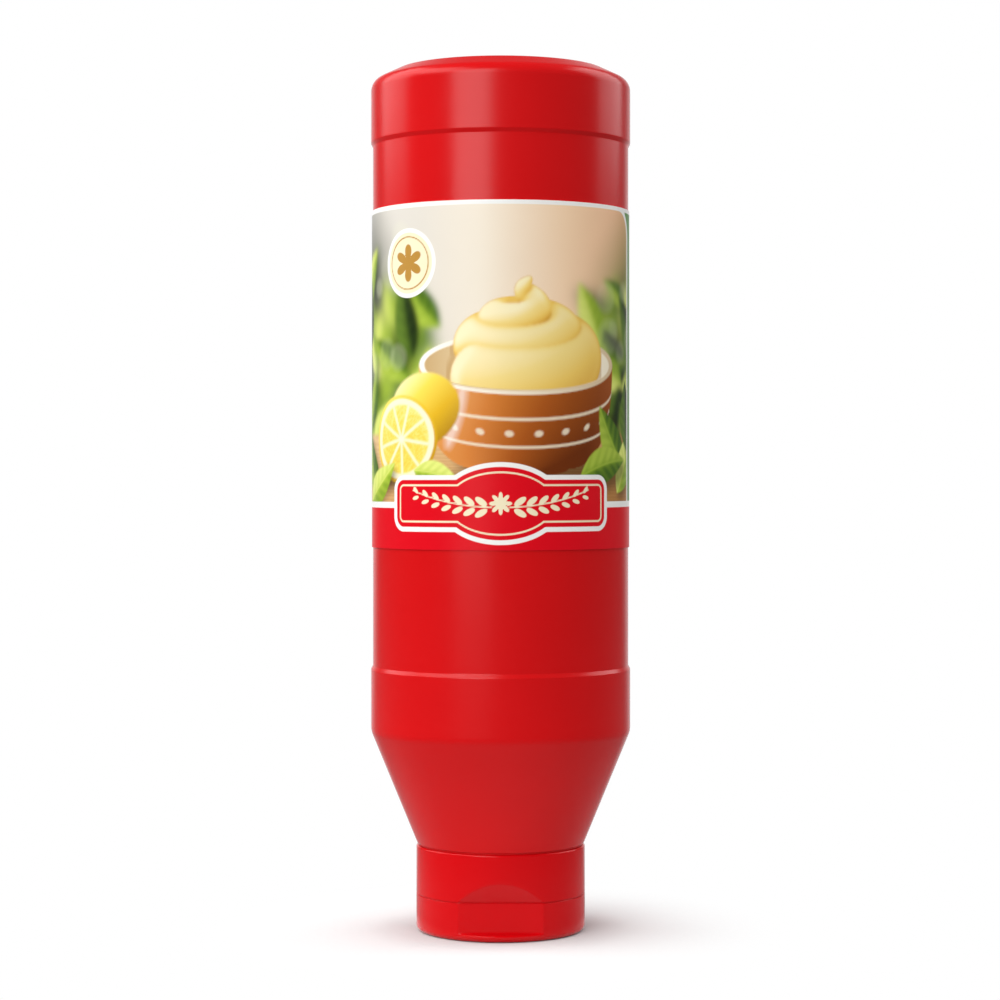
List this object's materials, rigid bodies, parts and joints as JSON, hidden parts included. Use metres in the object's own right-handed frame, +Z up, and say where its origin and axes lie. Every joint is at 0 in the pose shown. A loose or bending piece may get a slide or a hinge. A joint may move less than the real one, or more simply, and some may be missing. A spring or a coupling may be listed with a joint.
{
  "type": "mayonnaise squeeze bottle",
  "caption": "Red squeeze bottle of mayonnaise standing upside down on its flip-top cap, with raised bands, a cone shoulder and a printed wrap label.",
  "frame": {"origin": "centre of the lid's flat face, which the bottle stands on", "axes": "+Z up the bottle from the lid to the closed base; -Y is the front, where the thumb recess and the label's main picture are"},
  "size_m": [0.08, 0.08, 0.265],
  "materials": {
    "bottle_plastic": "satin blow-moulded polyethylene, dyed red",
    "cap_plastic": "semi-gloss injection-moulded polypropylene, dyed red",
    "label_film": "printed and varnished wrap film"
  },
  "bodies": {
    "root": {"bottle": "bottle_plastic", "label": "label_film", "cap_skirt": "cap_plastic", "cap_lid": "cap_plastic"}
  },
  "joints": []
}
